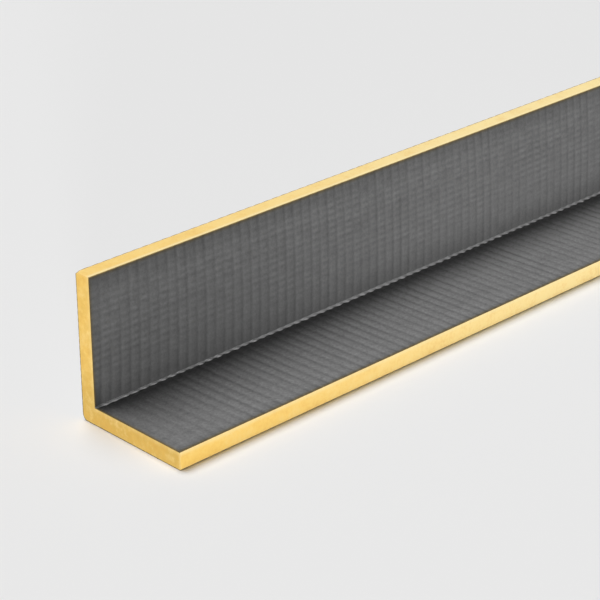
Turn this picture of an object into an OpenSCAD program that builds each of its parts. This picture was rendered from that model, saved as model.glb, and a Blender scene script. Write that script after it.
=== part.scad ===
// Angled tile backer board: a rigid foam angle, coated on its faces with
// fibre-mesh reinforced mortar and left bare on its sawn edges and ends.
// X runs along the board, the flat leg lies on the floor and points to -Y,
// and the upright leg stands at +Y. The origin is at the bottom centre.

/* [Board] */
// Length of the board
board_length = 1250; // [600:50:2600]
// Height of the upright leg, measured outside
upright_leg = 160; // [80:5:400]
// Width of the flat leg, measured outside
flat_leg = 145; // [80:5:400]
// Thickness of a leg, with both of its facings
board_thickness = 20; // [10:1:50]

/* [Facings] */
// Thickness of one coat of reinforced mortar
facing_thickness = 0.7; // [0.4:0.1:1.5]
// Outer radius of the rounded heel, where the outer facing wraps round
heel_radius = 7; // [2:0.5:9]

/* [Corner bead] */
// Radius of the mortar bead that seals the inner corner
bead_radius = 1.8; // [0.8:0.1:4]

/* [Hidden] */
arc_sides = 64;

// Section coordinates are Y and Z
back_y = flat_leg / 2;
front_y = -flat_leg / 2;
// Depth from the outer faces at which the foam ends and the inner facings start
core_depth = board_thickness - facing_thickness;
// The inner corner, where the two inner faces meet
corner_y = back_y - board_thickness;
corner_z = board_thickness;

// Draws a section, given in Y and Z, along the whole board
module along_board() {
    translate([-board_length / 2, 0, 0])
        rotate([90, 0, 90])
            linear_extrude(height = board_length)
                children();
}

// Everything that lies at least this deep below both outer faces, out to the
// two sawn edges, with the heel rounded about the same centre at every depth
module beyond_depth(depth) {
    radius = max(heel_radius - depth, 0);
    difference() {
        translate([front_y, depth])
            square([back_y - depth - front_y, upright_leg - depth]);
        if (radius > 0)
            difference() {
                translate([back_y - heel_radius, depth])
                    square(radius);
                translate([back_y - heel_radius, heel_radius])
                    circle(r = radius, $fn = arc_sides);
            }
    }
}

// An angle-shaped layer between two depths below the outer faces
module layer_section(from_depth, to_depth) {
    difference() {
        beyond_depth(from_depth);
        beyond_depth(to_depth);
    }
}

module foam_core() {
    color("#EDC264")
        along_board()
            layer_section(facing_thickness, core_depth);
}

module outer_facing() {
    color("#5E5F61")
        along_board()
            layer_section(0, facing_thickness);
}

// The facing on the upright leg's inner face, cut to a mitre in the corner
module upright_facing() {
    color("#5E5F61")
        along_board()
            polygon([
                [corner_y, corner_z],
                [corner_y + facing_thickness, core_depth],
                [corner_y + facing_thickness, upright_leg],
                [corner_y, upright_leg]
            ]);
}

// The facing on the flat leg's inner face, cut to the same mitre
module flat_facing() {
    color("#5E5F61")
        along_board()
            polygon([
                [corner_y, corner_z],
                [front_y, corner_z],
                [front_y, core_depth],
                [corner_y + facing_thickness, core_depth]
            ]);
}

// A quarter-round bead that fills the inner corner along the whole board
module corner_bead() {
    color("#8A8B8C")
        along_board()
            intersection() {
                translate([corner_y, corner_z])
                    circle(r = bead_radius, $fn = arc_sides);
                translate([corner_y - bead_radius, corner_z])
                    square(bead_radius);
            }
}

foam_core();
outer_facing();
upright_facing();
flat_facing();
corner_bead();
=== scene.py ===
"""Dresses the angled tile backer board.

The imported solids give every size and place. This script models what they leave
out: the weave of the reinforcing mesh that shows in the mortar coats, the sawn
and slightly worn foam, the uneven bead in the inner corner, the finishes, and
the stage and camera that show the board.
"""

import math

import bmesh
import bpy
from bpy.props import FloatProperty, FloatVectorProperty, IntProperty, PointerProperty
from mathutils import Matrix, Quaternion, Vector


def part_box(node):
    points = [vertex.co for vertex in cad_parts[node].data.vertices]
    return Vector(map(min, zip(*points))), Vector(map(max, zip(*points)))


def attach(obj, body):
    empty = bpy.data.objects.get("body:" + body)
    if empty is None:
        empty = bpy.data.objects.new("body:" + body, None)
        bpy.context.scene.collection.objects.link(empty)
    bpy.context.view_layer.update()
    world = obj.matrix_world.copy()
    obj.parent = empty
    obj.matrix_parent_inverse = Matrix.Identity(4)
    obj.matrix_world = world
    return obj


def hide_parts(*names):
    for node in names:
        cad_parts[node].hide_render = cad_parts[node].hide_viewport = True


bl_info = {
    "name": "Angled tile backer board",
    "version": (1, 0, 0),
    "blender": (4, 5, 0),
    "location": "View3D > Sidebar > Backer board",
    "description": "Models the mortar coats, the foam and the corner bead of an angled tile backer board",
    "category": "Object",
}

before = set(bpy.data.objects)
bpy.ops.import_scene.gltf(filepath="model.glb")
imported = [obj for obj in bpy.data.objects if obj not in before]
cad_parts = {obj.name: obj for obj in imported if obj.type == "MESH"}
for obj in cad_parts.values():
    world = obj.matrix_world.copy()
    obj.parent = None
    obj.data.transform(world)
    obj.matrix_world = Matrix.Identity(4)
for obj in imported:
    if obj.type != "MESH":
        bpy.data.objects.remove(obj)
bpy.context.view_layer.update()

MM = 0.001

# A point this close to a face lies on it, and points this close together are one
ON_FACE = 0.01 * MM
SAME_POINT = 0.001 * MM

# The stretch of the leg and of the board over which the mesh's skew is given
LEG_SPAN = 140 * MM
BOARD_SPAN = 600 * MM

# The board's faces and corners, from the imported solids
OUTER_LOW, OUTER_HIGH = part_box("outer_facing")
NEAR_X, FRONT_Y, FLOOR_Z = OUTER_LOW
FAR_X, BACK_Y, TOP_Z = OUTER_HIGH
UPRIGHT_LOW, UPRIGHT_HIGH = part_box("upright_facing")
CORNER_Y = UPRIGHT_LOW.y
COAT = UPRIGHT_HIGH.y - CORNER_Y
CORNER_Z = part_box("flat_facing")[1].z
BEAD_RADIUS = CORNER_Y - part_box("corner_bead")[0].y

# The heel starts where the flat underside ends
OUTER_POINTS = [vertex.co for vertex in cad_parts["outer_facing"].data.vertices]
HEEL_RADIUS = BACK_Y - max(point.y for point in OUTER_POINTS if point.z < FLOOR_Z + ON_FACE)

# Steps of the meshes, a step across a coat and a station along the board: fine on the faces inside the
# angle and plainer on the outer faces
FINE_STEP = 1.35 * MM
FINE_STATION = 1.52 * MM
PLAIN_STEP = 2.3 * MM
PLAIN_STATION = 2.0 * MM
HEEL_STEPS = 8
FOAM_STEP = 1.56 * MM
FOAM_ROWS = 14
BEAD_STEP = 1.25 * MM
BEAD_POINTS = 9
SHARP_ANGLE = math.radians(40)


class Value:
    """An output socket of a node tree. Arithmetic on it adds Math nodes."""

    def __init__(self, graph, socket):
        self.graph = graph
        self.socket = socket

    def output(self, name):
        """Another output of the same node."""
        return Value(self.graph, self.graph.pick(self.socket.node.outputs, name))

    def __add__(self, other):
        return self.graph.math("ADD", self, other)

    def __sub__(self, other):
        return self.graph.math("SUBTRACT", self, other)

    def __rsub__(self, other):
        return self.graph.math("SUBTRACT", other, self)

    def __mul__(self, other):
        return self.graph.math("MULTIPLY", self, other)

    def __truediv__(self, other):
        return self.graph.math("DIVIDE", self, other)

    def __pow__(self, other):
        return self.graph.math("POWER", self, other)

    __radd__ = __add__
    __rmul__ = __mul__


class Graph:
    """Adds nodes to one shader or geometry tree and links them."""

    def __init__(self, tree):
        self.tree = tree

    @staticmethod
    def pick(sockets, name):
        """The socket in use with that name, or at that place."""
        if isinstance(name, int):
            return sockets[name]
        return next(socket for socket in sockets if socket.enabled and socket.name == name)

    def plug(self, socket, value):
        """Links a value to a socket, or sets the socket to a plain one."""
        if isinstance(value, Value):
            self.tree.links.new(value.socket, socket)
        else:
            socket.default_value = value

    def add(self, kind, settings=None, inputs=None):
        """Adds a node: its settings first, then a value or a link for each socket. Gives its first output."""
        node = self.tree.nodes.new(kind)
        for name, setting in (settings or {}).items():
            setattr(node, name, setting)
        for name, value in (inputs or {}).items():
            self.plug(self.pick(node.inputs, name), value)
        outputs = [socket for socket in node.outputs if socket.enabled]
        return Value(self, outputs[0]) if outputs else None

    def math(self, operation, *values):
        return self.add("ShaderNodeMath", {"operation": operation}, dict(enumerate(values)))

    def vector(self, operation, *values):
        return self.add("ShaderNodeVectorMath", {"operation": operation}, dict(enumerate(values)))

    def scaled(self, vector, factor):
        return self.add("ShaderNodeVectorMath", {"operation": "SCALE"}, {"Vector": vector, "Scale": factor})

    def along_axes(self, x=0.0, y=0.0, z=0.0):
        return self.add("ShaderNodeCombineXYZ", {}, {"X": x, "Y": y, "Z": z})

    def axes(self, vector):
        """The three components of a vector."""
        x = self.add("ShaderNodeSeparateXYZ", {}, {"Vector": vector})
        return x, x.output("Y"), x.output("Z")

    def noise(self, place, scale, detail=2.0, roughness=0.5, shift=0.0):
        """Smooth noise from 0 to 1 over a place in metres, with features of about 1/scale.

        detail is how many finer layers it has and roughness how strong they are. shift sets two noises apart.
        """
        inputs = {"Vector": place, "W": shift, "Scale": scale, "Detail": detail, "Roughness": roughness}
        return self.add("ShaderNodeTexNoise", {"noise_dimensions": "4D"}, inputs)

    def chance(self, number):
        """An even random number from 0 to 1 for each whole number."""
        return self.add("ShaderNodeTexWhiteNoise", {"noise_dimensions": "1D"}, {"W": number})

    def wave(self, turns):
        """A smooth wave, 1 at every whole number and 0 halfway between."""
        return self.math("COSINE", turns * (2 * math.pi)) * 0.5 + 0.5

    def fade(self, value, low, high, start=0.0, end=1.0):
        """Goes smoothly from start to end as the value goes from low to high."""
        inputs = {"Value": value, "From Min": low, "From Max": high, "To Min": start, "To Max": end}
        return self.add("ShaderNodeMapRange", {"interpolation_type": "SMOOTHSTEP"}, inputs)

    def mix(self, factor, first, second):
        """A colour between two colours."""
        settings = {"data_type": "RGBA", "clamp_factor": True}
        return self.add("ShaderNodeMix", settings, {"Factor": factor, "A": first, "B": second})


class ShapeGraph(Graph):
    """A geometry tree with named inputs for its sizes, its seed and its finish."""

    def __init__(self, name, floats, vectors=(), wholes=()):
        super().__init__(bpy.data.node_groups.new(name, "GeometryNodeTree"))
        kinds = {"Geometry": "Geometry", "Seed": "Int", "Finish": "Material"}
        kinds |= dict.fromkeys(floats, "Float")
        kinds |= dict.fromkeys(vectors, "Vector")
        kinds |= dict.fromkeys(wholes, "Int")
        for socket, kind in kinds.items():
            self.tree.interface.new_socket(socket, in_out="INPUT", socket_type="NodeSocket" + kind)
        self.tree.interface.new_socket("Geometry", in_out="OUTPUT", socket_type="NodeSocketGeometry")
        self.entry = self.tree.nodes.new("NodeGroupInput")
        self.place = self.add("GeometryNodeInputPosition")

    def given(self, name):
        """One of the tree's own inputs."""
        return Value(self, self.entry.outputs[name])

    def stored(self, name, kind="FLOAT"):
        """A value that the mesh keeps at each point."""
        return self.add("GeometryNodeInputNamedAttribute", {"data_type": kind}, {"Name": name})

    def store(self, geometry, values):
        """Lets the mesh keep more values at each point."""
        settings = {"data_type": "FLOAT", "domain": "POINT"}
        for name, value in values.items():
            inputs = {"Geometry": geometry, "Name": name, "Value": value}
            geometry = self.add("GeometryNodeStoreNamedAttribute", settings, inputs)
        return geometry

    def hand_out(self, geometry, shift):
        """Ends the tree: points moved, instances made real, the finish put on, the result handed out."""
        moved = self.add("GeometryNodeSetPosition", {}, {"Geometry": geometry, "Offset": shift})
        real = self.add("GeometryNodeRealizeInstances", {}, {"Geometry": moved})
        inputs = {"Geometry": real, "Material": self.given("Finish")}
        finished = self.add("GeometryNodeSetMaterial", {}, inputs)
        self.add("NodeGroupOutput", {}, {"Geometry": finished})
        return self.tree


class MaterialGraph(Graph):
    """The tree of a new material."""

    def __init__(self, name, roughness, gloss):
        self.material = bpy.data.materials.new(name)
        self.material.use_nodes = True
        super().__init__(self.material.node_tree)
        self.feed("Roughness", roughness)
        self.feed("Specular IOR Level", gloss)

    def feed(self, name, value):
        """Gives one of the shader's inputs its value."""
        self.plug(self.tree.nodes["Principled BSDF"].inputs[name], value)

    def object_place(self):
        """A point's place in the piece's own coordinates, in metres."""
        return self.add("ShaderNodeTexCoord").output("Object")

    def painted(self, name):
        """A value that the mesh keeps at each point."""
        return self.add("ShaderNodeAttribute", {"attribute_name": name}).output("Fac")

    def bump(self, height, distance, strength):
        """Fine unevenness that is too small for the mesh."""
        inputs = {"Height": height, "Distance": distance, "Strength": strength}
        self.feed("Normal", self.add("ShaderNodeBump", {}, inputs))


class BoardWeave(bpy.types.PropertyGroup):
    """Sizes of the reinforcing mesh whose ribs and threads show in the mortar."""

    rib_pitch: FloatProperty(
        name="Rib pitch", description="Distance from one cross rib to the next",
        default=12.5 * MM, min=2 * MM, unit="LENGTH")
    rib_relief: FloatProperty(
        name="Rib relief", description="Depth of the grooves between the cross ribs",
        default=0.45 * MM, min=0, max=0.5 * MM, unit="LENGTH")
    thread_pitch: FloatProperty(
        name="Thread pitch", description="Distance between the threads that run along the board",
        default=7.61 * MM, min=2 * MM, unit="LENGTH")
    thread_relief: FloatProperty(
        name="Thread relief", description="Depth of the hollows between the lengthwise threads",
        default=0.16 * MM, min=0, max=0.3 * MM, unit="LENGTH")
    first_thread: FloatProperty(
        name="First thread", description="Distance of the first thread from the inner corner at the near end",
        default=6.6 * MM, min=0, unit="LENGTH")
    thread_slant: FloatProperty(
        name="Thread slant", description="How much nearer to the corner a thread lies 0.6 m on",
        default=1.8 * MM, unit="LENGTH")
    thread_start: FloatProperty(
        name="Thread start", description="Distance from the inner corner at which the threads begin to show",
        default=6 * MM, min=0, unit="LENGTH")
    thread_full: FloatProperty(
        name="Thread full", description="Distance from the inner corner from which the threads show fully",
        default=62 * MM, min=0, unit="LENGTH")
    # The thread shade is painted shade in the hollows between the threads
    thread_shade: FloatProperty(
        name="Thread shade", description="How much paler the threads are than the hollows between them",
        default=0.135, min=0, max=1)
    lump_relief: FloatProperty(
        name="Lump relief", description="Depth of the soft unevenness of the trowelled mortar",
        default=0.10 * MM, min=0, max=0.2 * MM, unit="LENGTH")
    wander: FloatProperty(
        name="Wander", description="How far the ribs stray from straight lines",
        default=0.5 * MM, min=0, max=2 * MM, unit="LENGTH")
    seed: IntProperty(name="Seed", description="Changes the chance unevenness of the mesh", default=7)


class BoardFinish(bpy.types.PropertyGroup):
    """Colours of the board's materials and the wear of its foam."""

    mortar: FloatVectorProperty(
        name="Mortar", description="Charcoal mortar of the three coats",
        default=(0.172, 0.172, 0.172), size=3, min=0, max=1, subtype="COLOR")
    bead: FloatVectorProperty(
        name="Bead", description="Lighter mortar of the corner bead",
        default=(0.43, 0.43, 0.43), size=3, min=0, max=1, subtype="COLOR")
    foam_end: FloatVectorProperty(
        name="Foam, ends", description="Foam on the two sawn ends, at the top of the upright leg",
        default=(0.885, 0.572, 0.143), size=3, min=0, max=1, subtype="COLOR")
    # The ends' colour low down is painted shade: the same foam, less lit
    foam_low: FloatVectorProperty(
        name="Foam, ends, low down", description="Foam on the two sawn ends, at the flat leg",
        default=(0.73, 0.475, 0.115), size=3, min=0, max=1, subtype="COLOR")
    foam_edge: FloatVectorProperty(
        name="Foam, long edges", description="Foam on the two sawn long edges, at the near end",
        default=(0.965, 0.64, 0.165), size=3, min=0, max=1, subtype="COLOR")
    saw_relief: FloatProperty(
        name="Saw relief", description="Depth of the marks that the saw left in the foam",
        default=0.10 * MM, min=0, max=0.2 * MM, unit="LENGTH")
    arris_wear: FloatProperty(
        name="Arris wear", description="How far the foam's outer arrises are rubbed down",
        default=0.30 * MM, min=0, max=0.6 * MM, unit="LENGTH")
    corner_wear: FloatProperty(
        name="Corner wear", description="How far the near end's top outer corner is knocked down",
        default=2.0 * MM, min=0, max=3 * MM, unit="LENGTH")
    bead_wave: FloatProperty(
        name="Bead wave", description="How much the bead's radius varies along the corner",
        default=2.5 * MM, min=0, max=3 * MM, unit="LENGTH")
    bead_swell: FloatProperty(
        name="Bead swell", description="How far the bead's lumps stand out beyond its plain radius",
        default=2.0 * MM, min=0, max=2.2 * MM, unit="LENGTH")
    bead_lean: FloatProperty(
        name="Bead lean", description="How much less far the bead reaches up the upright leg",
        default=2.6 * MM, min=0, max=3 * MM, unit="LENGTH")
    first_lump: FloatProperty(
        name="First lump", description="Place of the bead's first lump from the near end",
        default=12.5 * MM, min=0, unit="LENGTH")
    bead_sink: FloatProperty(
        name="Bead sink", description="How far the bead reaches into the grooves of the coats",
        default=0.35 * MM, min=0, max=0.6 * MM, unit="LENGTH")
    seed: IntProperty(name="Seed", description="Changes the chance wear of the foam and the bead", default=3)


class BoardStage(bpy.types.PropertyGroup):
    """The floor, the lamps and the camera."""

    backdrop: FloatVectorProperty(
        name="Backdrop", description="Pale grey of the floor and of what lies behind it",
        default=(0.784, 0.784, 0.784), size=3, min=0, max=1, subtype="COLOR")
    floor_width: FloatProperty(
        name="Floor width", description="Width of the floor", default=80, min=5, unit="LENGTH")
    ambient: FloatProperty(
        name="Ambient light", description="Share of the light that comes evenly from all round",
        default=0.03, min=0, max=1)
    key_light: FloatProperty(
        name="Key light", description="Share of the light that the soft overhead lamp gives a level face",
        default=0.92, min=0, max=2)
    key_azimuth: FloatProperty(
        name="Key azimuth", description="Side that the overhead lamp shines from",
        default=math.radians(187), subtype="ANGLE")
    key_elevation: FloatProperty(
        name="Key elevation", description="Height of the overhead lamp above the horizon",
        default=math.radians(70), subtype="ANGLE")
    key_spread: FloatProperty(
        name="Key spread", description="Angle that the overhead lamp fills, which softens its shadow",
        default=math.radians(38), subtype="ANGLE")
    fill_light: FloatProperty(
        name="Fill light", description="Share of the light that the low front lamp gives a face turned to it",
        default=1.14, min=0, max=2)
    fill_azimuth: FloatProperty(
        name="Fill azimuth", description="Side that the front lamp shines from",
        default=math.radians(-38), subtype="ANGLE")
    fill_elevation: FloatProperty(
        name="Fill elevation", description="Height of the front lamp above the horizon",
        default=math.radians(1), subtype="ANGLE")
    fill_spread: FloatProperty(
        name="Fill spread", description="Angle that the front lamp fills",
        default=math.radians(8), subtype="ANGLE")
    aim: FloatVectorProperty(
        name="Aim", description="Point on the board at the middle of the picture",
        default=(-0.35835, 0.03895, 0.05304), size=3, subtype="TRANSLATION", unit="LENGTH")
    distance: FloatProperty(
        name="Distance", description="From the camera to the point that it aims at",
        default=2.239, min=0.1, unit="LENGTH")
    azimuth: FloatProperty(
        name="Azimuth", description="Side that the camera looks from",
        default=math.radians(-44.107), subtype="ANGLE")
    elevation: FloatProperty(
        name="Elevation", description="Height of the camera above the horizon",
        default=math.radians(25.125), subtype="ANGLE")
    roll: FloatProperty(
        name="Roll", description="Tilt of the camera about its line of sight",
        default=math.radians(-0.273), subtype="ANGLE")
    lens: FloatProperty(name="Lens", description="Focal length in millimetres", default=128.406, min=10)


def spaced(start, end, step):
    """Evenly spaced numbers from start to end, both included, no further apart than step."""
    count = max(1, math.ceil(abs(end - start) / step))
    return [start + (end - start) * i / count for i in range(count + 1)]


def heel_arc(radius):
    """Section points round the heel from the underside to the back, about the heel's own centre."""
    centre_y = BACK_Y - HEEL_RADIUS
    centre_z = FLOOR_Z + HEEL_RADIUS
    turns = [math.pi / 2 * i / HEEL_STEPS for i in range(HEEL_STEPS + 1)]
    return [(centre_y + radius * math.sin(turn), centre_z - radius * math.cos(turn)) for turn in turns]


def make_piece(name, points, faces, values=None):
    """An object from points and faces, with values that the mesh keeps at each point."""
    mesh = bpy.data.meshes.new(name)
    mesh.from_pydata(points, [], faces)
    for key, numbers in (values or {}).items():
        if isinstance(numbers[0], tuple):
            attribute = mesh.attributes.new(key, "FLOAT_VECTOR", "POINT")
            attribute.data.foreach_set("vector", [part for number in numbers for part in number])
        else:
            attribute = mesh.attributes.new(key, "FLOAT", "POINT")
            attribute.data.foreach_set("value", numbers)
    piece = bpy.data.objects.new(name, mesh)
    bpy.context.scene.collection.objects.link(piece)
    return piece


def as_inputs(settings):
    """A group's settings under the names of a tree's inputs."""
    return {name.replace("_", " ").title(): getattr(settings, name) for name in settings.__annotations__}


def run_tree(piece, tree, values):
    """Runs a geometry tree on a piece once and keeps the plain mesh that it makes."""
    modifier = piece.modifiers.new(tree.name, "NODES")
    modifier.node_group = tree
    for item in tree.interface.items_tree:
        if item.in_out == "INPUT" and item.name in values:
            modifier[item.identifier] = values[item.name]
    depsgraph = bpy.context.evaluated_depsgraph_get()
    plain = bpy.data.meshes.new_from_object(
        piece.evaluated_get(depsgraph), preserve_all_data_layers=True, depsgraph=depsgraph)
    piece.modifiers.remove(modifier)
    piece.data = plain
    plain.name = piece.name
    plain.polygons.foreach_set("use_smooth", [True] * len(plain.polygons))
    plain.set_sharp_from_angle(angle=SHARP_ANGLE)
    return piece


def hand_over(piece, node):
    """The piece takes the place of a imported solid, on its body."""
    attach(piece, "root")
    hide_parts(node)


def coat_skin(name, stations, front, back):
    """A thin closed coat, swept along the board from its section.

    front holds a section point, its outward direction, its distance along the
    coat and its share of the relief for each row of the visible face. back
    holds the section points of the face that is bonded to the foam. Together
    they run anticlockwise with Y to the right and Z up.
    """
    bare = [(point, (0.0, 0.0), 0.0, 0.0) for point in back]
    ring = front + bare
    count = len(ring)
    points = [(x, y, z) for x in stations for (y, z), _, _, _ in ring]
    faces = [
        (i * count + j, i * count + (j + 1) % count, (i + 1) * count + (j + 1) % count, (i + 1) * count + j)
        for i in range(len(stations) - 1)
        for j in range(count)
    ]
    last = (len(stations) - 1) * count
    faces.append(tuple(range(count - 1, -1, -1)))
    faces.append(tuple(range(last, last + count)))
    end_gaps = [min(x - NEAR_X, FAR_X - x) for x in stations]
    values = {
        "outward": [(0.0, *outward) for _ in stations for _, outward, _, _ in ring],
        "across": [across for _ in stations for _, _, across, _ in ring],
        "relief_share": [share for _ in stations for _, _, _, share in ring],
        "end_gap": [gap for gap in end_gaps for _ in ring],
    }
    return make_piece(name, points, faces, values)


def corner_share(across):
    """The relief fades out in the inner corner, under the bead."""
    return min(1.0, across / (2 * BEAD_RADIUS))


def upright_section():
    """The coat on the upright leg's inner face."""
    rows = spaced(TOP_Z, CORNER_Z, FINE_STEP)
    front = [((CORNER_Y, z), (-1.0, 0.0), z - CORNER_Z, corner_share(z - CORNER_Z)) for z in rows]
    back = [(CORNER_Y + COAT, CORNER_Z - COAT), (CORNER_Y + COAT, TOP_Z)]
    return front, back


def flat_section():
    """The coat on the flat leg's inner face."""
    rows = spaced(CORNER_Y, FRONT_Y, FINE_STEP)
    front = [((y, CORNER_Z), (0.0, 1.0), CORNER_Y - y, corner_share(CORNER_Y - y)) for y in rows]
    back = [(FRONT_Y, CORNER_Z - COAT), (CORNER_Y + COAT, CORNER_Z - COAT)]
    return front, back


def outer_section():
    """The coat on the outer faces, wrapped round the heel."""
    heel_y = BACK_Y - HEEL_RADIUS
    heel_z = FLOOR_Z + HEEL_RADIUS
    front = [((y, FLOOR_Z), (0.0, -1.0)) for y in spaced(FRONT_Y, heel_y, PLAIN_STEP)[:-1]]
    for y, z in heel_arc(HEEL_RADIUS):
        front.append(((y, z), ((y - heel_y) / HEEL_RADIUS, (z - heel_z) / HEEL_RADIUS)))
    front += [((BACK_Y, z), (1.0, 0.0)) for z in spaced(heel_z, TOP_Z, PLAIN_STEP)[1:]]
    walked = [0.0]
    for (start, _), (end, _) in zip(front, front[1:]):
        walked.append(walked[-1] + math.dist(start, end))
    front = [(point, outward, across, 1.0) for (point, outward), across in zip(front, walked)]
    back = [(BACK_Y - COAT, TOP_Z)] + heel_arc(HEEL_RADIUS - COAT)[::-1] + [(FRONT_Y, FLOOR_Z + COAT)]
    return front, back


# How far the near end's knocked-down corner reaches, and how far below the top edge in coat and foam
KNOCK_REACH = 7 * MM
COAT_KNOCK_DEPTH = 0.5 * MM
FOAM_KNOCK_DEPTH = 1.7 * MM


def pressed(graph, depth, knock_depth):
    """The shift that presses a face in by a depth and knocks down the near end's top outer corner."""
    corner = graph.along_axes(NEAR_X, BACK_Y, TOP_Z)
    gap = graph.vector("DISTANCE", graph.place, corner)
    knocked = graph.fade(gap, 0.0, KNOCK_REACH, 1.0, 0.0) ** 2 * graph.given("Corner Wear")
    _, _, z = graph.axes(graph.place)
    knocked = knocked * graph.fade(z, TOP_Z - knock_depth, TOP_Z)
    inward = graph.scaled(graph.stored("outward", "FLOAT_VECTOR"), depth * -1)
    return graph.vector("ADD", inward, graph.along_axes(0.0, 0.0, knocked * -1))


class CoatPlace:
    """Where the points of a coat lie, as values of the weave's tree."""

    def __init__(self, graph):
        x, y, z = graph.axes(graph.place)
        self.from_end = x - NEAR_X
        self.on_board = graph.math("MINIMUM", self.from_end / BOARD_SPAN, 1.0)
        self.across = graph.stored("across")
        self.on_coat = graph.along_axes(x, self.across)
        self.end_gap = graph.stored("end_gap")
        self.rim_gap = graph.math("MINIMUM", TOP_Z - z, y - FRONT_Y)


# How finely the grooves stray from their lines along the board and over the leg, in waves per metre
STRAY_WAVES = (16.0, 45.0, 0.0)


def groove_turns(graph, at):
    """Counts the grooves along the board, with a whole number in the middle of each.

    The mesh lies askew: its grooves lean and bow over the leg, and drift along the board.
    """
    on_leg = at.across / LEG_SPAN
    powers = graph.along_axes(1.0, on_leg, on_leg * on_leg)
    near_place = graph.vector("DOT_PRODUCT", graph.given("Near Groove"), powers)
    far_place = graph.vector("DOT_PRODUCT", graph.given("Far Groove"), powers)
    groove_place = near_place + (far_place - near_place) * at.on_board
    groove_place = groove_place + at.on_board * (1 - at.on_board) * graph.given("Groove Bend")
    waves = graph.vector("MULTIPLY", at.on_coat, STRAY_WAVES)
    stray = graph.noise(waves, 1, 1, 0.5, graph.given("Seed") + 2) - 0.5
    groove_place = groove_place + stray * graph.given("Wander")
    return (at.from_end - groove_place) / graph.given("Rib Pitch")


# Fades of the grooves: between which distances they run, and where it is fixed, from how much to how much
UNLIKE_GROOVES = (300 * MM, 550 * MM, 0.36, 0.90)
UP_THE_ENDS = (40 * MM, 115 * MM)
NEAR_AN_END = (0.0, 130 * MM)
ALONG_THE_BOARD = (50 * MM, BOARD_SPAN)
NEAR_THE_CORNER = (0.0, 45 * MM)
GROOVES_AT_THE_RIM = (5 * MM, 28 * MM, 1.25, 1.0)

# How deeply the grooves are pressed in on the whole, and how much deeper in patches
GROOVE_STRENGTH = 0.80
GROOVE_PATCHES = 0.4


def groove_strength(graph, at, along):
    """How deeply the grooves are pressed in: unlike from one to the next, and by zones of the coat."""
    seed = graph.given("Seed")
    nearest = graph.math("FLOOR", along + 0.5)
    unlike = (graph.chance(nearest + seed + 0.5) - 0.5) * graph.fade(at.from_end, *UNLIKE_GROOVES)
    strength = GROOVE_STRENGTH + unlike + graph.noise(at.on_coat, 22, 1, 0.5, seed) * GROOVE_PATCHES
    end_ribs = graph.fade(at.across, *UP_THE_ENDS, graph.given("End Ribs"), graph.given("High End Ribs"))
    strength = strength * graph.fade(at.end_gap, *NEAR_AN_END, end_ribs, 1.0)
    strength = strength * graph.fade(at.from_end, *ALONG_THE_BOARD, 1.0, graph.given("Far Ribs"))
    strength = strength * graph.fade(at.across, *NEAR_THE_CORNER, graph.given("Corner Ribs"), 1.0)
    fading = (graph.given("Fade Start"), graph.given("Fade End"))
    strength = strength * graph.fade(at.across, *fading, 1.0, graph.given("High Ribs"))
    return strength * graph.fade(at.rim_gap, *GROOVES_AT_THE_RIM)


# How far a thread is set off from one rib to the next, as a share of the pitch
THREAD_STAGGER = 0.10

# How clear a thread is at the corner, in the faintest mesh of the net and how much clearer in others, on
# the pads, and how much less in the grooves
CORNER_CLEARNESS = 0.15
FAINTEST_MESH = 0.40
CLEARER_MESHES = 1.2
PAD_CLEARNESS = 1.4
GROOVE_LOSS = 0.8

# Fades of the threads, as those of the grooves; the first goes by the noise and not by a distance
CLEAR_PATCHES = (0.30, 0.70, 0.65, 1.3)
THREADS_AT_THE_END = (0.0, 120 * MM, 1.35, 0.80)
THREADS_FURTHER_ON = (200 * MM, 300 * MM, 1.0, 1.25)
THREADS_AT_THE_RIM = (5 * MM, 28 * MM, 0.5, 1.0)


def thread_turns(graph, at, rib):
    """Counts the lengthwise threads over the leg, with a whole number in the middle of each."""
    stagger = (graph.chance(rib + graph.given("Seed") + 90.5) - 0.5) * THREAD_STAGGER
    over = at.across - graph.given("First Thread") + at.on_board * graph.given("Thread Slant")
    return over / graph.given("Thread Pitch") + stagger


# Step in the number of a mesh from one thread to the next: more than there are ribs on the board
NEXT_THREAD = 1000


def mesh_chance(graph, rib, thread):
    """A random number from 0 to 1 for each pair of a rib and a thread."""
    return graph.chance(rib + thread * NEXT_THREAD + graph.given("Seed") + 0.5)


def thread_clearness(graph, at, rib, over, wave):
    """How clearly the threads stand out: more in one mesh of the net than in the next, and by zones."""
    patches = graph.noise(at.on_coat, 14, 2, 0.6, graph.given("Seed") + 5)
    full = (graph.given("Thread Start"), graph.given("Thread Full"))
    clear = graph.fade(patches, *CLEAR_PATCHES) * graph.fade(at.across, *full, CORNER_CLEARNESS, 1.0)
    nearest = graph.math("FLOOR", over + 0.5)
    clear = clear * (FAINTEST_MESH + mesh_chance(graph, rib, nearest) * CLEARER_MESHES)
    clear = clear * graph.given("Thread Share") * graph.fade(at.from_end, *THREADS_AT_THE_END)
    clear = clear * graph.fade(at.from_end, *THREADS_FURTHER_ON)
    clear = clear * graph.fade(at.rim_gap, *THREADS_AT_THE_RIM)
    return clear * (PAD_CLEARNESS - wave * GROOVE_LOSS)


# Fades of the coat's painted light and shade and of its darkening by the ends and the rim, as those of the
# grooves
TONE_ALONG = (0.0, 500 * MM)
TONE_AT_THE_END = (0.0, 14 * MM, 0.89, 1.0)
FAR_OFF = (100 * MM, 500 * MM)
LOW_DOWN = (0.0, 130 * MM, 1.0, 0.0)
MIDDLE_RISE = (0.0, 42 * MM)
MIDDLE_FALL = (42 * MM, 95 * MM, 1.0, 0.0)
CORNER_SHADE = (0.0, 30 * MM)
BESIDE_THE_BEAD = (4 * MM, 10 * MM)
CORNER_AT_THE_END = (0.0, 14 * MM, 0.4, 0.0)


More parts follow.
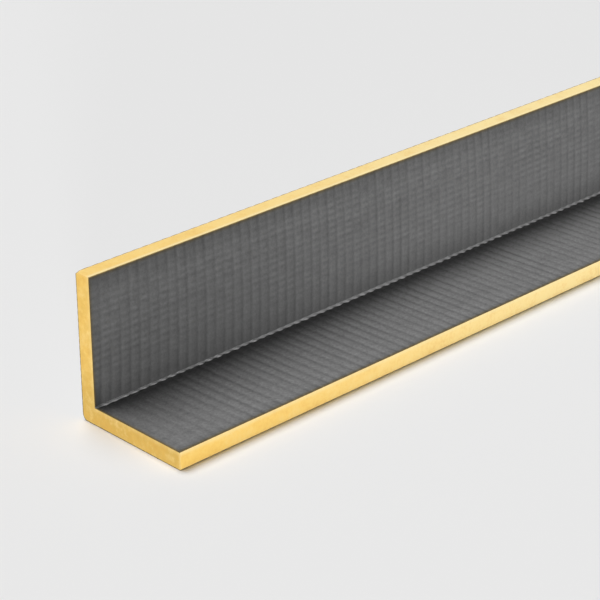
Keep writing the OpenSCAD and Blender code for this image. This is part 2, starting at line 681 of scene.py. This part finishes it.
def zone_light_and_shade(graph, at):
    """How pale the coat is by zones: painted light along the board, mid-leg far off and beside the bead on
    the flat leg, painted shade low down and in the corner, darker by the ends and along the rim.
    """
    # Painted light grows along the board, and the coat is darker by the ends
    near_tone = graph.fade(at.from_end, *TONE_ALONG, graph.given("Near Tone"), 1.0)
    near_tone = near_tone * graph.fade(at.end_gap, *TONE_AT_THE_END)
    on_far = graph.fade(at.from_end, *FAR_OFF)
    # Painted shade low down near the near end, and painted light on the middle of the leg further on
    low_tone = 1 - graph.fade(at.across, *LOW_DOWN) * (1 - on_far) * (1 - graph.given("Low Tone"))
    middle = graph.fade(at.across, *MIDDLE_RISE) * graph.fade(at.across, *MIDDLE_FALL)
    low_tone = low_tone * (1 + middle * on_far * (graph.given("Far Low Tone") - 1))
    # Painted shade in the inner corner and at its ends, and painted light beside the bead
    corner_tone = graph.fade(at.across, *CORNER_SHADE, graph.given("Corner Tone"), 1.0)
    corner_tone = corner_tone * graph.fade(at.across, *BESIDE_THE_BEAD, graph.given("Bead Side Tone"), 1.0)
    end_corner = graph.fade(at.across, *CORNER_SHADE, 1.0, 0.0) * graph.fade(at.end_gap, *CORNER_AT_THE_END)
    corner_tone = corner_tone * (1 - end_corner)
    # Darker along the rim
    rim_tone = graph.fade(at.rim_gap, 0.0, graph.given("Rim Width"), graph.given("Rim Tone"), 1.0)
    return near_tone * low_tone * corner_tone * rim_tone


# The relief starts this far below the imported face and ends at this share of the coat's thickness
SKIN_DEPTH = 0.02 * MM
DEEPEST = 0.93

# How much one mesh of the net is paler than the next, where the sawn rims and ends leave their dust, and
# how clouded the mortar is, low and high on the leg
MESH_CONTRAST = 0.08
RIM_DUST = (1 * MM, 5 * MM, 1.0, 0.0)
END_DUST = (0.5 * MM, 4 * MM, 0.8, 0.0)
CLOUDS_UP_THE_LEG = (50 * MM, 100 * MM, 0.55, 1.15)


def weave_tree():
    """Presses the weave of the reinforcing mesh into the visible face of a coat, and shades it."""
    graph = ShapeGraph("mortar weave", vectors=("Near Groove", "Far Groove"), floats=(
        "Groove Bend", "Wander", "Rib Pitch", "Rib Relief", "Rib Shape", "Rib Shade", "Flank Shade",
        "End Ribs", "High End Ribs", "Far Ribs", "Corner Ribs", "High Ribs", "Fade Start", "Fade End",
        "Thread Pitch", "First Thread", "Thread Slant", "Thread Start", "Thread Full", "Thread Share",
        "Thread Relief", "Thread Shade", "Lump Relief", "Lump Share", "Clouds", "Grain", "Tone",
        "Near Tone", "Low Tone", "Far Low Tone", "Corner Tone", "Bead Side Tone", "Rim Tone", "Rim Width",
        "Rim Dust", "Corner Wear"))
    at = CoatPlace(graph)
    share = graph.stored("relief_share")

    # Each rib is a low pad between two narrow grooves
    along = groove_turns(graph, at)
    rib = graph.math("FLOOR", along)
    wave = graph.wave(along)
    groove = wave ** graph.given("Rib Shape")
    groove_depth = groove * groove_strength(graph, at, along)
    depth = groove_depth * graph.given("Rib Relief")

    # The lengthwise threads stand out a little from the hollows between them
    over = thread_turns(graph, at, rib)
    crest = graph.wave(over)
    clear = thread_clearness(graph, at, rib, over, wave)
    depth = depth + (1 - crest) * clear * graph.given("Thread Relief")

    lumps = graph.noise(at.on_coat, 240, 2, 0.6, graph.given("Seed") + 9)
    depth = depth + lumps * (graph.given("Lump Relief") * graph.given("Lump Share")) + SKIN_DEPTH
    depth = graph.math("MINIMUM", graph.math("MAXIMUM", depth, 0.0), COAT * DEEPEST) * share

    # Painted shade darkens each groove at the bottom and on one flank, and painted light pales the other
    # flank
    flank = groove_depth * graph.math("SINE", along * (2 * math.pi)) * graph.given("Flank Shade")
    tone = 1 + (flank - groove_depth * groove * graph.given("Rib Shade")) * share
    # Threads are paler than hollows: painted shade darkens the hollows between them
    tone = tone + (crest - 0.5) * clear * share * graph.given("Thread Shade")
    tone = tone + (mesh_chance(graph, rib, graph.math("FLOOR", over)) - 0.5) * MESH_CONTRAST

    sawn_gap = graph.math("MINIMUM", at.rim_gap, at.end_gap)
    # The tone carries the painted light and shade of the weave and of the zones, besides the mortar's own
    # unevenness
    shaded = graph.store(graph.given("Geometry"), {
        "tone": tone * zone_light_and_shade(graph, at) * graph.given("Tone"),
        "cut_edge": graph.fade(sawn_gap, 0.0, ON_FACE, 1.0, 0.0),
        "rim_dust": graph.fade(at.rim_gap, 0.0, ON_FACE, 1.0, 0.0) * graph.given("Rim Dust"),
        "dusty": graph.math("MAXIMUM", graph.fade(at.rim_gap, *RIM_DUST), graph.fade(at.end_gap, *END_DUST)),
        "clouds": graph.fade(at.across, *CLOUDS_UP_THE_LEG) * graph.given("Clouds"),
        "grain": graph.given("Grain"),
    })
    return graph.hand_out(shaded, pressed(graph, depth, COAT_KNOCK_DEPTH))


# Black, the coats' cut edges clean and dusty, and what foam dust leaves of the mortar's colour
BLACK = (0.0, 0.0, 0.0, 1.0)
CUT_COAT = (0.14, 0.10, 0.040, 1.0)
CUT_COAT_DUSTY = (0.39, 0.285, 0.11, 1.0)
FOAM_DUST = (0.90, 0.77, 0.52)

MORTAR_ROUGHNESS = 0.80

# The palest mortar, as a multiple of its colour
MORTAR_PALEST = 1.5

# On the flat leg the mortar is dragged out a little across the leg
MORTAR_DRAG = (1.0, 0.85, 1.0)


def mortar_material(colour):
    """Charcoal mortar with fine grains and the painted light and shade of its tone, dusty by its sawn rims,
    and dark where the coats are cut through.
    """
    graph = MaterialGraph("charcoal mortar", roughness=MORTAR_ROUGHNESS, gloss=0.08)
    place = graph.object_place()
    dragged = graph.vector("MULTIPLY", place, MORTAR_DRAG)
    patches = graph.noise(place, 9, 3, 0.55) - 0.5
    blotches = graph.noise(place, 55, 3, 0.6, 2.0) - 0.5
    fuzz = graph.noise(dragged, 170, 2, 0.6, 3.0) - 0.5
    grains = graph.noise(dragged, 430, 1, 0.6, 4.0) - 0.5
    specks = graph.noise(dragged, 1100, 2, 0.6, 6.0) - 0.5
    clouded = (patches * 0.14 + blotches * 0.32 + fuzz * 0.28) * graph.painted("clouds")
    grained = (grains * 0.66 + specks * 0.50) * graph.painted("grain")
    # The tone brings painted light and shade from the weave's tree
    light = graph.painted("tone") * (1 + (clouded + grained))
    palest = tuple(part * MORTAR_PALEST for part in colour) + (1.0,)
    tint = graph.mix(light / MORTAR_PALEST, BLACK, palest)
    dusted = graph.vector("MULTIPLY", tint, FOAM_DUST)
    tint = graph.mix(graph.painted("dusty") * (1 + fuzz * 0.8), tint, dusted)
    cut = graph.mix(graph.painted("rim_dust"), CUT_COAT, CUT_COAT_DUSTY)
    graph.feed("Base Color", graph.mix(graph.painted("cut_edge"), tint, cut))
    graph.feed("Roughness", MORTAR_ROUGHNESS + blotches * 0.2)
    height = graph.noise(place, 1400, 3, 0.65, 1.0) + graph.noise(place, 380, 2, 0.5, 3.0) * 1.5
    graph.bump(height, distance=0.12 * MM, strength=0.35)
    return graph.material


# How the weave differs from one coat to the next. A groove's place is its distance from the near end at
# the corner, its lean over the leg and its bow, first near that end and then further along the board. The
# inner coats are given where they differ from the outer one.
# Rib Shade, Flank Shade and Thread Shade are painted light and shade on the weave, as if lit from one side.
# Tone, Near Tone, Low Tone, Far Low Tone, Corner Tone and Bead Side Tone paint light and shade on a coat
# as a whole and by zones; Rim Tone only darkens a coat along its rim.
OUTER_WEAVE = {
    "Near Groove": (6.0 * MM, 2.0 * MM, -1.0 * MM),
    "Far Groove": (7.5 * MM, -1.5 * MM, 0.5 * MM),
    "Groove Bend": 2.0 * MM,
    "Rib Shape": 2.0,
    "Rib Shade": 0.10,
    "Flank Shade": 0.0,
    "End Ribs": 0.8,
    "High End Ribs": 0.8,
    "Far Ribs": 1.0,
    "Corner Ribs": 1.0,
    "High Ribs": 1.0,
    "Fade Start": 50 * MM,
    "Fade End": 125 * MM,
    "Thread Share": 0.8,
    "Lump Share": 1.0,
    "Clouds": 1.0,
    "Grain": 0.7,
    "Tone": 1.0,
    "Near Tone": 1.0,
    "Low Tone": 1.0,
    "Far Low Tone": 1.0,
    "Corner Tone": 1.0,
    "Bead Side Tone": 1.0,
    "Rim Tone": 0.84,
    "Rim Width": 12 * MM,
    "Rim Dust": 0.8,
}
UPRIGHT_WEAVE = OUTER_WEAVE | {
    "Near Groove": (7.8 * MM, 11.4 * MM, -7.0 * MM),
    "Far Groove": (11.7 * MM, -1.7 * MM, -9.8 * MM),
    "Groove Bend": 4.0 * MM,
    "Rib Shade": 0.075,
    "Flank Shade": 0.125,
    "End Ribs": 1.0,
    "High End Ribs": 0.55,
    "Far Ribs": 0.80,
    "High Ribs": 0.85,
    "Fade Start": 38 * MM,
    "Fade End": 82 * MM,
    "Thread Share": 1.0,
    "Grain": 0.62,
    "Tone": 0.92,
    "Near Tone": 0.79,
    "Low Tone": 0.90,
    "Far Low Tone": 1.12,
    "Corner Tone": 0.86,
    "Bead Side Tone": 0.98,
    "Rim Tone": 0.755,
    "Rim Width": 28 * MM,
    "Rim Dust": 1.0,
}
FLAT_WEAVE = OUTER_WEAVE | {
    "Near Groove": (6.4 * MM, 3.0 * MM, 2.8 * MM),
    "Far Groove": (11.4 * MM, 4.0 * MM, 0.4 * MM),
    "Groove Bend": 2.9 * MM,
    "Rib Shape": 1.2,
    "Rib Shade": 0.13,
    "Flank Shade": 0.21,
    "End Ribs": 0.38,
    "High End Ribs": 0.42,
    "Corner Ribs": 0.3,
    "High Ribs": 0.74,
    "Thread Share": 0.25,
    "Lump Share": 0.5,
    "Clouds": 0.35,
    "Grain": 1.1,
    "Tone": 1.03,
    "Far Low Tone": 1.42,
    "Corner Tone": 0.78,
    "Bead Side Tone": 1.22,
    "Rim Tone": 0.76,
    "Rim Dust": 0.0,
}


class BOARD_OT_mortar_coats(bpy.types.Operator):
    """Make the three mortar coats with the weave of their reinforcing mesh"""

    bl_idname = "board.mortar_coats"
    bl_label = "Mortar coats"

    def execute(self, context):
        weave = context.scene.board_weave
        finish = context.scene.board_finish
        tree = weave_tree()
        mortar = mortar_material(tuple(finish.mortar))
        coats = (
            ("upright_coat", "upright_facing", upright_section(), FINE_STATION, UPRIGHT_WEAVE),
            ("flat_coat", "flat_facing", flat_section(), FINE_STATION, FLAT_WEAVE),
            ("outer_coat", "outer_facing", outer_section(), PLAIN_STATION, OUTER_WEAVE),
        )
        for turn, (name, node, (front, back), step, own_weave) in enumerate(coats):
            coat = coat_skin(name, spaced(NEAR_X, FAR_X, step), front, back)
            run_tree(coat, tree, as_inputs(weave) | own_weave | {
                "Corner Wear": finish.corner_wear,
                "Seed": weave.seed + turn,
                "Finish": mortar,
            })
            hand_over(coat, node)
        return {"FINISHED"}


def foam_section():
    """Pairs of outer and inner section points of the foam, from the front edge to the top edge."""
    inner_y = CORNER_Y + COAT
    inner_z = CORNER_Z - COAT
    under = FLOOR_Z + COAT
    behind = BACK_Y - COAT
    inner = (inner_y, inner_z)
    heel = heel_arc(HEEL_RADIUS - COAT)
    flat = [((y, under), (y, inner_z)) for y in spaced(FRONT_Y, inner_y, FOAM_STEP)]
    below = [((y, under), inner) for y in spaced(inner_y, heel[0][0], FOAM_STEP)[1:-1]]
    round_heel = [(point, inner) for point in heel]
    above = [((behind, z), inner) for z in spaced(heel[-1][1], inner_z, FOAM_STEP)[1:-1]]
    upright = [((behind, z), (inner_y, z)) for z in spaced(inner_z, TOP_Z, FOAM_STEP)]
    pairs = flat + below + round_heel + above + upright
    bends = [0, len(flat) - 1]
    bends += range(len(flat) + len(below), len(flat) + len(below) + len(round_heel))
    bends += [len(pairs) - len(upright), len(pairs) - 1]
    return pairs, bends


class Skin:
    """A mesh built from patches that are welded where they meet."""

    def __init__(self):
        self.points = []
        self.numbers = {}
        self.faces = []

    def number(self, point):
        """The number of the point, which is new if nothing lies there yet."""
        key = tuple(round(part / SAME_POINT) for part in point)
        if key not in self.numbers:
            self.numbers[key] = len(self.points)
            self.points.append(point)
        return self.numbers[key]

    def face(self, points):
        """A face, without the corners that fall together."""
        corners = list(dict.fromkeys(self.number(point) for point in points))
        if len(corners) > 2:
            self.faces.append(tuple(corners))

    def patch(self, rows):
        """Faces between rows of points of the same length."""
        for low, high in zip(rows, rows[1:]):
            for j in range(len(low) - 1):
                self.face((low[j], low[j + 1], high[j + 1], high[j]))


def foam_skin():
    """The foam's closed skin: fine on the sawn faces, plain where the coats are bonded to it."""
    skin = Skin()
    pairs, bends = foam_section()
    stations = spaced(NEAR_X, FAR_X, FOAM_STEP)
    shares = [row / FOAM_ROWS for row in range(FOAM_ROWS + 1)]

    def inside(x, pair, share):
        (outer_y, outer_z), (inner_y, inner_z) = pair
        return (x, outer_y + (inner_y - outer_y) * share, outer_z + (inner_z - outer_z) * share)

    for x in (NEAR_X, FAR_X):
        skin.patch([[inside(x, pair, share) for share in shares] for pair in pairs])
    for pair in (pairs[0], pairs[-1]):
        skin.patch([[inside(x, pair, share) for share in shares] for x in stations])
    for share in (0, 1):
        for i, (x, next_x) in enumerate(zip(stations, stations[1:])):
            for start, end in zip(bends, bends[1:]):
                between = pairs[start:end + 1]
                first = between if i == 0 else (between[0], between[-1])
                second = between if i == len(stations) - 2 else (between[0], between[-1])
                outline = [inside(x, pair, share) for pair in first]
                outline += [inside(next_x, pair, share) for pair in reversed(second)]
                skin.face(outline)
    return skin


def foam_faces(point):
    """The sawn faces that a point of the foam lies on, as outward directions: ends first."""
    x, y, z = point
    faces = [
        (x < NEAR_X + ON_FACE, (-1.0, 0.0, 0.0)),
        (x > FAR_X - ON_FACE, (1.0, 0.0, 0.0)),
        (y < FRONT_Y + ON_FACE, (0.0, -1.0, 0.0)),
        (z > TOP_Z - ON_FACE, (0.0, 0.0, 1.0)),
    ]
    return [outward for on_face, outward in faces if on_face]


def coat_gaps(point):
    """How deep a point of the foam lies below the outer coat and below the inner coats."""
    _, y, z = point
    outer = min(z - FLOOR_Z, BACK_Y - y) - COAT
    inner = max(CORNER_Z - z, y - CORNER_Y) - COAT
    return max(0.0, outer), max(0.0, inner)


def arris_gap(point, directions):
    """How far a point of the foam lies from the nearest arris between two sawn faces."""
    x, y, z = point
    if not directions:
        return FAR_X - NEAR_X
    if len(directions) > 1:
        return 0.0
    if directions[0][0]:
        return max(0.0, min(y - FRONT_Y, TOP_Z - z))
    return max(0.0, min(x - NEAR_X, FAR_X - x))


def foam_values(points):
    """What the foam's mesh keeps at each point, for its wear and its material."""
    values = {"outward": [], "arris_gap": [], "outer_gap": [], "inner_gap": [], "on_end": []}
    for point in points:
        directions = foam_faces(point)
        outer_gap, inner_gap = coat_gaps(point)
        values["outward"].append(tuple(sum(parts) for parts in zip((0.0, 0.0, 0.0), *directions)))
        values["arris_gap"].append(arris_gap(point, directions))
        values["outer_gap"].append(outer_gap)
        values["inner_gap"].append(inner_gap)
        values["on_end"].append(1.0 if directions and directions[0][0] else 0.0)
    return values


# How far in the arrises are rubbed and the foam beside the cut coats is crushed, and how deeply crushed
ARRIS_REACH = 1.8 * MM
CRUSH_REACH = 1.6 * MM
CRUSH_DEPTH = 0.12 * MM


def sawn_tree():
    """Gives the foam's sawn faces their marks and rubs down their arrises, always inward."""
    graph = ShapeGraph("sawn foam", floats=("Saw Relief", "Arris Wear", "Corner Wear"))
    seed = graph.given("Seed")
    coat_gap = graph.math("MINIMUM", graph.stored("outer_gap"), graph.stored("inner_gap"))
    cells = graph.noise(graph.place, 700, 2, 0.6, seed)
    waves = graph.noise(graph.place, 60, 2, 0.5, seed + 3)
    marks = (cells * 0.5 + waves * 0.5) * graph.given("Saw Relief")
    rubbed = graph.fade(graph.stored("arris_gap"), 0.0, ARRIS_REACH, 1.0, 0.0) * graph.given("Arris Wear")
    rubbed = rubbed * (0.35 + graph.noise(graph.place, 90, 2, 0.6, seed + 6) * 1.3)
    crushed = graph.fade(coat_gap, 0.0, CRUSH_REACH, 1.0, 0.0) * CRUSH_DEPTH
    depth = marks + rubbed + crushed
    return graph.hand_out(graph.given("Geometry"), pressed(graph, depth, FOAM_KNOCK_DEPTH))


def faded(colour, power):
    """A colour made deeper by a power over 1 and paler by one under 1, with its alpha."""
    return tuple(part ** power for part in colour) + (1.0,)


FOAM_TOP_EDGE = (0.86, 0.78, 0.52, 1.0)
FOAM_DEEP = (0.80, 0.43, 0.09, 1.0)
FOAM_PALE = (1.0, 0.82, 0.42, 1.0)
FOAM_ARRIS = (1.0, 0.83, 0.46, 1.0)

# Painted light: the long edges pale towards the far end by this power of their colour
FAR_PAINTED_LIGHT = 0.58

# Heights between the front edge and the top edge, and heights over which the ends' painted shade gives way to
# their colour high up
BETWEEN_EDGES = (50 * MM, 100 * MM)
UP_THE_END_FACE = (15 * MM, 75 * MM)

# How the foam pales towards the inner coats, the outer coat and the arrises
BY_INNER_COATS = (0.5 * MM, 6 * MM, 0.62, 0.0)
BY_OUTER_COAT = (0.0, 2.2 * MM, 0.25, 0.0)
BY_ARRIS = (0.0, 2.5 * MM, 0.15, 0.0)


def foam_material(end_colour, shaded_end_colour, edge_colour):
    """Sawn rigid foam: clouded yellow with fine cells, with painted light that pales its long edges towards
    the far end and painted shade on its ends low down, and paler along its arrises.
    """
    graph = MaterialGraph("sawn foam", roughness=0.85, gloss=0.12)
    place = graph.object_place()
    x, _, z = graph.axes(place)
    on_end = graph.painted("on_end")
    along = graph.fade(x, NEAR_X, NEAR_X + BOARD_SPAN)
    edge = graph.mix(along, faded(edge_colour, 1), faded(edge_colour, FAR_PAINTED_LIGHT))
    edge = graph.mix(graph.fade(z, *BETWEEN_EDGES, 0.0, 0.15), edge, FOAM_TOP_EDGE)
    # The ends get painted shade low down, towards the flat leg
    end = graph.mix(graph.fade(z, *UP_THE_END_FACE), faded(shaded_end_colour, 1), faded(end_colour, 1))
    tint = graph.mix(on_end, edge, end)

    clouds = graph.noise(place, 48, 4, 0.6) - 0.5
    flecks = graph.noise(place, 300, 2, 0.6, 2.0) - 0.5
    cells = graph.noise(place, 1300, 2, 0.7, 5.0) - 0.5
    dabs = (graph.noise(place, 130, 3, 0.55, 8.0) - 0.5) * on_end
    mottle = clouds * 1.4 + flecks * 0.7 + cells * 0.5 + dabs * 1.2
    tint = graph.mix(mottle, tint, FOAM_DEEP)
    tint = graph.mix(mottle * -0.8, tint, FOAM_PALE)
    tint = graph.scaled(tint, 1 - dabs * 0.24)

    paling = graph.fade(graph.painted("inner_gap"), *BY_INNER_COATS)
    paling = paling * graph.fade(z, *BETWEEN_EDGES, 0.85, 1.25)
    paling = paling + graph.fade(graph.painted("outer_gap"), *BY_OUTER_COAT)
    paling = paling * (1 - on_end * 0.75)
    paling = paling + graph.fade(graph.painted("arris_gap"), *BY_ARRIS)
    graph.feed("Base Color", graph.mix(paling * (1 + flecks * 0.8), tint, FOAM_ARRIS))
    graph.bump(cells + flecks * 1.5, distance=0.15 * MM, strength=0.3)
    return graph.material


class BOARD_OT_foam(bpy.types.Operator):
    """Make the foam angle with its sawn edges and ends"""

    bl_idname = "board.foam"
    bl_label = "Foam"

    def execute(self, context):
        finish = context.scene.board_finish
        skin = foam_skin()
        foam = make_piece("foam_board", skin.points, skin.faces, foam_values(skin.points))
        shell = bmesh.new()
        shell.from_mesh(foam.data)
        bmesh.ops.recalc_face_normals(shell, faces=shell.faces)
        shell.to_mesh(foam.data)
        shell.free()
        colours = (tuple(finish.foam_end), tuple(finish.foam_low), tuple(finish.foam_edge))
        run_tree(foam, sawn_tree(), as_inputs(finish) | {"Finish": foam_material(*colours)})
        hand_over(foam, "foam_core")
        return {"FINISHED"}


# Points of the bead nearer to its hidden core line than this stay where they are
CORE_REACH = 0.5 * MM

# The bead's lumps start a little way in from the near end, and before them it is darker by this many lumps
LUMPS_START = (3 * MM, 12 * MM)
BARE_END = 1.5

# How the bead changes along the board: its waves near the end and far off, and its lean
WAVES_AT_THE_END = (0.0, 120 * MM, 0.60, 1.0)
WAVES_FAR_OFF = (350 * MM, 600 * MM, 1.0, 1.35)
LEAN_ALONG = (50 * MM, 500 * MM, 1.0, 0.62)

# The trowel dragged the bead's mortar across the corner
BEAD_DRAG = (1.0, 0.4, 0.4)


def bead_tree():
    """Lays an uneven quarter-round bead along the inner corner, in lumps that follow the ribs' pitch."""
    graph = ShapeGraph("corner bead", vectors=("Start", "End"), wholes=("Steps",), floats=(
        "Radius", "Bead Sink", "Bead Swell", "Bead Wave", "Bead Lean", "Lump Pitch", "First Lump"))
    seed = graph.given("Seed")
    line = graph.add("GeometryNodeCurvePrimitiveLine", {}, {
        "Start": graph.given("Start"), "End": graph.given("End")})
    line = graph.add("GeometryNodeResampleCurve", {}, {"Curve": line, "Count": graph.given("Steps")})
    line = graph.add("GeometryNodeSetCurveNormal", {"mode": "Z_UP"}, {"Curve": line})
    quarter = graph.add("GeometryNodeCurveArc", {"mode": "RADIUS"}, {
        "Resolution": BEAD_POINTS,
        "Radius": graph.given("Radius") + graph.given("Bead Swell") + graph.given("Bead Sink"),
        "Start Angle": math.pi * 1.5, "Sweep Angle": math.pi / 2, "Connect Center": True})
    bead = graph.add("GeometryNodeCurveToMesh", {}, {
        "Curve": line, "Profile Curve": quarter, "Fill Caps": True})

    # There is one lump to each rib, and some are smaller than others
    x, _, _ = graph.axes(graph.place)
    from_end = x - NEAR_X
    lump_turn = (from_end - graph.given("First Lump")) / graph.given("Lump Pitch")
    lump_chance = graph.chance(graph.math("FLOOR", lump_turn + 0.5) + seed)
    started = graph.fade(from_end, *LUMPS_START)
    lump = graph.wave(lump_turn) * (0.6 + lump_chance * 0.4) * started

    # The skin is drawn in between the lumps, and all along the upright leg
    spoke = graph.vector("SUBTRACT", graph.place, graph.given("Start"))
    spoke = graph.vector("MULTIPLY", spoke, (0.0, 1.0, 1.0))
    on_skin = graph.math("GREATER_THAN", graph.vector("LENGTH", spoke), CORE_REACH)
    spoke = graph.vector("NORMALIZE", spoke)
    _, over_flat, up_wall = graph.axes(spoke)
    drag = graph.noise(graph.vector("MULTIPLY", graph.place, BEAD_DRAG), 260, 2, 0.6, seed)
    thin = ((1 - lump) * 0.65 + drag * 0.35) * graph.given("Bead Wave") * over_flat * -1
    thin = thin * graph.fade(from_end, *WAVES_AT_THE_END) * graph.fade(from_end, *WAVES_FAR_OFF)
    thin = thin + up_wall * graph.given("Bead Lean") * graph.fade(from_end, *LEAN_ALONG)
    shaded = graph.store(bead, {"lump": lump - (1 - started) * BARE_END})
    return graph.hand_out(shaded, graph.scaled(spoke, thin * on_skin * -1))


# The bead's darkest and palest mortar, as multiples of its colour
BEAD_DARKEST = 0.5
BEAD_PALEST = 1.5

# How much the bead is paler by the near end, and darker further along the board
PALE_BY_THE_END = (NEAR_X, NEAR_X + 140 * MM, 0.17, 0.04)
DARK_FURTHER_ON = (NEAR_X + 230 * MM, NEAR_X + 580 * MM, 0.0, 0.26)


def bead_material(colour):
    """Light grey mortar, smeared thin between its lumps."""
    graph = MaterialGraph("bead mortar", roughness=0.75, gloss=0.12)
    place = graph.object_place()
    x, _, _ = graph.axes(place)
    smears = graph.noise(place, 130, 3, 0.6) - 0.5
    grains = graph.noise(place, 1300, 2, 0.6, 3.0) - 0.5
    light = 0.31 + graph.painted("lump") * 0.34 + smears * 0.5 + grains * 0.25
    light = light + graph.fade(x, *PALE_BY_THE_END) - graph.fade(x, *DARK_FURTHER_ON)
    darkest = tuple(part * BEAD_DARKEST for part in colour) + (1.0,)
    palest = tuple(min(1.0, part * BEAD_PALEST) for part in colour) + (1.0,)
    graph.feed("Base Color", graph.mix(light, darkest, palest))
    graph.bump(grains + smears, distance=0.15 * MM, strength=0.4)
    return graph.material


class BOARD_OT_corner_bead(bpy.types.Operator):
    """Make the bead that seals the inner corner"""

    bl_idname = "board.corner_bead"
    bl_label = "Corner bead"

    def execute(self, context):
        finish = context.scene.board_finish
        bead = make_piece("corner_seal", [], [])
        sunk = (CORNER_Y + finish.bead_sink, CORNER_Z - finish.bead_sink)
        run_tree(bead, bead_tree(), as_inputs(finish) | {
            "Start": (NEAR_X, *sunk),
            "End": (FAR_X, *sunk),
            "Radius": BEAD_RADIUS,
            "Lump Pitch": context.scene.board_weave.rib_pitch,
            "Steps": math.ceil((FAR_X - NEAR_X) / BEAD_STEP),
            "Finish": bead_material(tuple(finish.bead)),
        })
        hand_over(bead, "corner_bead")
        return {"FINISHED"}


def direction(azimuth, elevation):
    """The direction towards a lamp or camera: azimuth 0 stands in front, at -Y, and 90 degrees at +X."""
    level = math.cos(elevation)
    return Vector((math.sin(azimuth) * level, -math.cos(azimuth) * level, math.sin(elevation)))


def add_sun(name, towards, strength, spread):
    """A lamp so far off that it lights the whole board evenly."""
    lamp = bpy.data.lights.new(name, "SUN")
    lamp.energy = strength
    lamp.angle = spread
    sun = bpy.data.objects.new(name, lamp)
    sun.rotation_mode = "QUATERNION"
    sun.rotation_quaternion = towards.to_track_quat("Z", "Y")
    bpy.context.scene.collection.objects.link(sun)


def light_world(backdrop, ambient):
    """An even soft light, seen directly or in a reflection as the backdrop's own colour."""
    world = bpy.data.worlds.new("studio")
    bpy.context.scene.world = world
    world.use_nodes = True
    graph = Graph(world.node_tree)
    rays = graph.add("ShaderNodeLightPath")
    seen = graph.math("MAXIMUM", rays.output("Is Camera Ray"), rays.output("Is Glossy Ray"))
    seen = graph.math("MAXIMUM", seen, rays.output("Is Transmission Ray"))
    colour = graph.mix(seen, (ambient, ambient, ambient, 1.0), backdrop + (1.0,))
    graph.plug(world.node_tree.nodes["Background"].inputs["Color"], colour)


# Width of the camera's sensor, in millimetres
SENSOR_WIDTH = 36


class BOARD_OT_stage(bpy.types.Operator):
    """Set the floor, the lamps and the camera"""

    bl_idname = "board.stage"
    bl_label = "Stage"

    def execute(self, context):
        stage = context.scene.board_stage
        half = stage.floor_width / 2
        sides = ((-half, -half), (half, -half), (half, half), (-half, half))
        floor = make_piece("floor", [(x, y, FLOOR_Z) for x, y in sides], [(0, 1, 2, 3)])
        pale = MaterialGraph("pale floor", roughness=0.9, gloss=0.0)
        lit = stage.ambient + stage.key_light
        pale.feed("Base Color", tuple(part / lit for part in stage.backdrop) + (1.0,))
        floor.data.materials.append(pale.material)
        light_world(tuple(stage.backdrop), stage.ambient)

        # A sun of strength pi lights a face turned to it so that its colour shows as written
        key = direction(stage.key_azimuth, stage.key_elevation)
        add_sun("key", key, stage.key_light * math.pi / key.z, stage.key_spread)
        fill = direction(stage.fill_azimuth, stage.fill_elevation)
        add_sun("fill", fill, stage.fill_light * math.pi, stage.fill_spread)

        lens = bpy.data.cameras.new("camera")
        lens.lens = stage.lens
        lens.sensor_width = SENSOR_WIDTH
        camera = bpy.data.objects.new("camera", lens)
        context.scene.collection.objects.link(camera)
        towards = direction(stage.azimuth, stage.elevation)
        camera.location = Vector(stage.aim) + towards * stage.distance
        camera.rotation_mode = "QUATERNION"
        level = (-towards).to_track_quat("-Z", "Y")
        camera.rotation_quaternion = level @ Quaternion((0, 0, 1), stage.roll)
        context.scene.camera = camera
        context.scene.view_settings.view_transform = "Standard"
        return {"FINISHED"}


class BOARD_PT_build(bpy.types.Panel):
    """Lists the steps that make the board, with their sizes and colours"""

    bl_idname = "BOARD_PT_build"
    bl_label = "Angled tile backer board"
    bl_space_type = "VIEW_3D"
    bl_region_type = "UI"
    bl_category = "Backer board"

    def draw(self, context):
        for step in STEPS:
            self.layout.operator(step.bl_idname)
        for group in GROUPS:
            box = self.layout.box()
            settings = getattr(context.scene, group)
            for name in settings.__annotations__:
                box.prop(settings, name)


STEPS = (BOARD_OT_stage, BOARD_OT_foam, BOARD_OT_mortar_coats, BOARD_OT_corner_bead)
GROUPS = {"board_weave": BoardWeave, "board_finish": BoardFinish, "board_stage": BoardStage}
CLASSES = (*GROUPS.values(), *STEPS, BOARD_PT_build)


def register():
    for one in CLASSES:
        bpy.utils.register_class(one)
    for name, group in GROUPS.items():
        setattr(bpy.types.Scene, name, PointerProperty(type=group))


def unregister():
    for name in GROUPS:
        delattr(bpy.types.Scene, name)
    for one in reversed(CLASSES):
        bpy.utils.unregister_class(one)


def main():
    """Builds the board and its stage."""
    register()
    bpy.ops.board.stage()
    bpy.ops.board.foam()
    bpy.ops.board.mortar_coats()
    bpy.ops.board.corner_bead()


if __name__ == "__main__":
    main()
